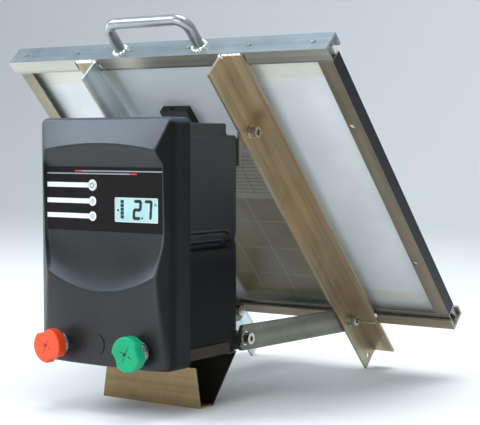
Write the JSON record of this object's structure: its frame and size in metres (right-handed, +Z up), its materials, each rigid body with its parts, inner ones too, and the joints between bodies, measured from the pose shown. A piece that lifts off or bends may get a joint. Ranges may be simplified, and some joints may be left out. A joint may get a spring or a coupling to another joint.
{
  "type": "fence energizer",
  "caption": "Battery fence energizer in a black case on a folded foot, with a tilting solar panel held behind it on two rails and two stays.",
  "frame": {"origin": "centre of the underside of the foot, level with the ground", "axes": "+X to the right facing the fascia's side, +Y from the fascia to the solar panel, +Z up"},
  "size_m": [0.441, 0.4663, 0.4267],
  "materials": {
    "case_plastic": "fine moulded grain, satin",
    "seal_rubber": "matt",
    "bright_steel": "bright zinc or stainless fasteners",
    "fascia_film": "printed gloss film",
    "display_glass": "clear window over a pale reflective display",
    "display_body": "circuit board laminate",
    "white_plastic": "smooth",
    "led_plastic": "clear tinted",
    "red_plastic": "moulded",
    "green_plastic": "moulded",
    "brass": "turned",
    "core_steel": "laminated",
    "capacitor_sleeve": "shrink sleeve",
    "battery_case": "moulded",
    "brushed_stainless": "rolled sheet with a light brushed grain",
    "channel_aluminium": "mill finish, lightly scuffed",
    "panel_glass": "clear",
    "cell_silicon": "dark blue cells",
    "backsheet_film": "white film"
  },
  "bodies": {
    "energizer": {"front_cover": "case_plastic", "rear_housing": "case_plastic", "cover_gasket": "seal_rubber", "cover_screws": "bright_steel", "fascia_overlay": "fascia_film", "display_window": "display_glass", "display_module": "display_body", "indicator_lenses": "white_plastic", "status_leds": "led_plastic", "power_switch": "case_plastic", "control_board": "display_body", "control_board_screws": "bright_steel", "output_board": "display_body", "storage_capacitors": "capacitor_sleeve", "transformer_core": "core_steel", "transformer_winding": "brass", "battery": "battery_case", "battery_pad": "seal_rubber", "terminal_studs": "bright_steel", "terminal_washers": "bright_steel", "terminal_nuts": "bright_steel", "blanking_plug": "case_plastic", "panel_socket": "case_plastic", "tray": "brushed_stainless", "tray_screws": "bright_steel", "foot_bracket": "brushed_stainless", "foot_screws": "bright_steel", "pivot_brackets": "brushed_stainless", "pivot_bracket_screws": "bright_steel", "pivot_bolts": "bright_steel", "pivot_nuts": "bright_steel", "stay_brackets": "brushed_stainless", "stay_bracket_rivets": "bright_steel", "stay_front_bolts": "bright_steel", "stay_front_nuts": "bright_steel"},
    "power_button": {"power_button": "white_plastic"},
    "red_knob": {"red_knob": "red_plastic", "red_knob_insert": "brass"},
    "green_knob": {"green_knob": "green_plastic", "green_knob_insert": "brass"},
    "left_stay": {"left_stay": "brushed_stainless", "left_stay_nut": "bright_steel"},
    "right_stay": {"right_stay": "brushed_stainless", "right_stay_nut": "bright_steel"},
    "panel": {"left_rail": "brushed_stainless", "right_rail": "brushed_stainless", "top_channel": "channel_aluminium", "bottom_channel": "channel_aluminium", "channel_rivets": "channel_aluminium", "carry_handle": "channel_aluminium", "weld_beads": "channel_aluminium", "frame_top": "channel_aluminium", "frame_bottom": "channel_aluminium", "frame_left": "channel_aluminium", "frame_right": "channel_aluminium", "solar_glass": "panel_glass", "solar_cells": "cell_silicon", "backsheet": "backsheet_film", "junction_box": "case_plastic", "stay_rail_bolts": "bright_steel"}
  },
  "joints": [
    {"name": "panel_tilt", "type": "hinge", "parent": "energizer", "child": "panel", "pos_m": [0, 0.0549, 0.2999], "axis": [1, 0, 0], "range_deg": [-13.9, 11.5]},
    {"name": "left_stay_swing", "type": "hinge", "parent": "energizer", "child": "left_stay", "pos_m": [0, 0.0465, 0.072], "axis": [1, 0, 0], "range_deg": [-27.6, 22.9]},
    {"name": "right_stay_swing", "type": "hinge", "parent": "energizer", "child": "right_stay", "pos_m": [0, 0.0465, 0.072], "axis": [1, 0, 0], "range_deg": [-27.6, 22.9]},
    {"name": "red_knob_turn", "type": "hinge", "parent": "energizer", "child": "red_knob", "pos_m": [-0.0543, -0.117, 0.0723], "axis": [0, -1, 0], "continuous": true},
    {"name": "green_knob_turn", "type": "hinge", "parent": "energizer", "child": "green_knob", "pos_m": [0.0543, -0.117, 0.0723], "axis": [0, -1, 0], "continuous": true},
    {"name": "power_button_press", "type": "slide", "parent": "energizer", "child": "power_button", "axis": [0, 1, 0], "range_m": [0, 0.001], "stiffness_N_per_m": 300}
  ],
  "couplings": [
    {"joint": "left_stay_swing", "follows": "panel_tilt", "ratio": 1.98},
    {"joint": "right_stay_swing", "follows": "panel_tilt", "ratio": 1.98}
  ]
}
